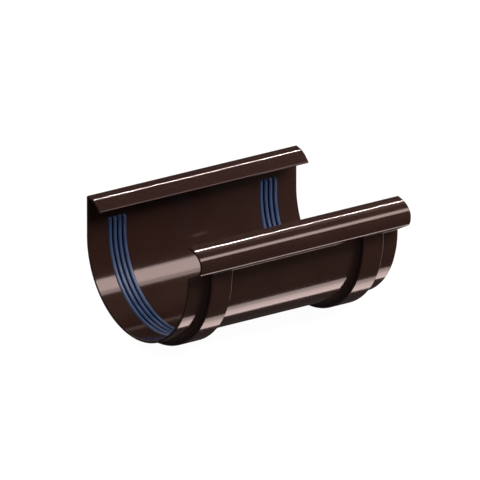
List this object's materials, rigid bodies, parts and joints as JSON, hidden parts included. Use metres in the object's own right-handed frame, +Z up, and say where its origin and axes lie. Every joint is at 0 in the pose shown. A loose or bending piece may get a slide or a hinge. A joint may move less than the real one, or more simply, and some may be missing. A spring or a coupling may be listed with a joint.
{
  "type": "gutter connector",
  "caption": "Half-round gutter connector with a hook lip at the back, an open bead hook at the front and ribbed rubber seals in stepped bands.",
  "frame": {"origin": "middle of the part's footprint on the floor, midway along its length", "axes": "+X along the gutter, +Y towards the hooked back rim, +Z up out of the open trough"},
  "size_m": [0.197, 0.152, 0.1036],
  "materials": {
    "body_plastic": "moulded dark brown PVC, satin gloss",
    "seal_rubber": "blue moulded rubber, matte"
  },
  "bodies": {
    "root": {"connector_body": "body_plastic", "seal_left": "seal_rubber", "seal_right": "seal_rubber"}
  },
  "joints": []
}
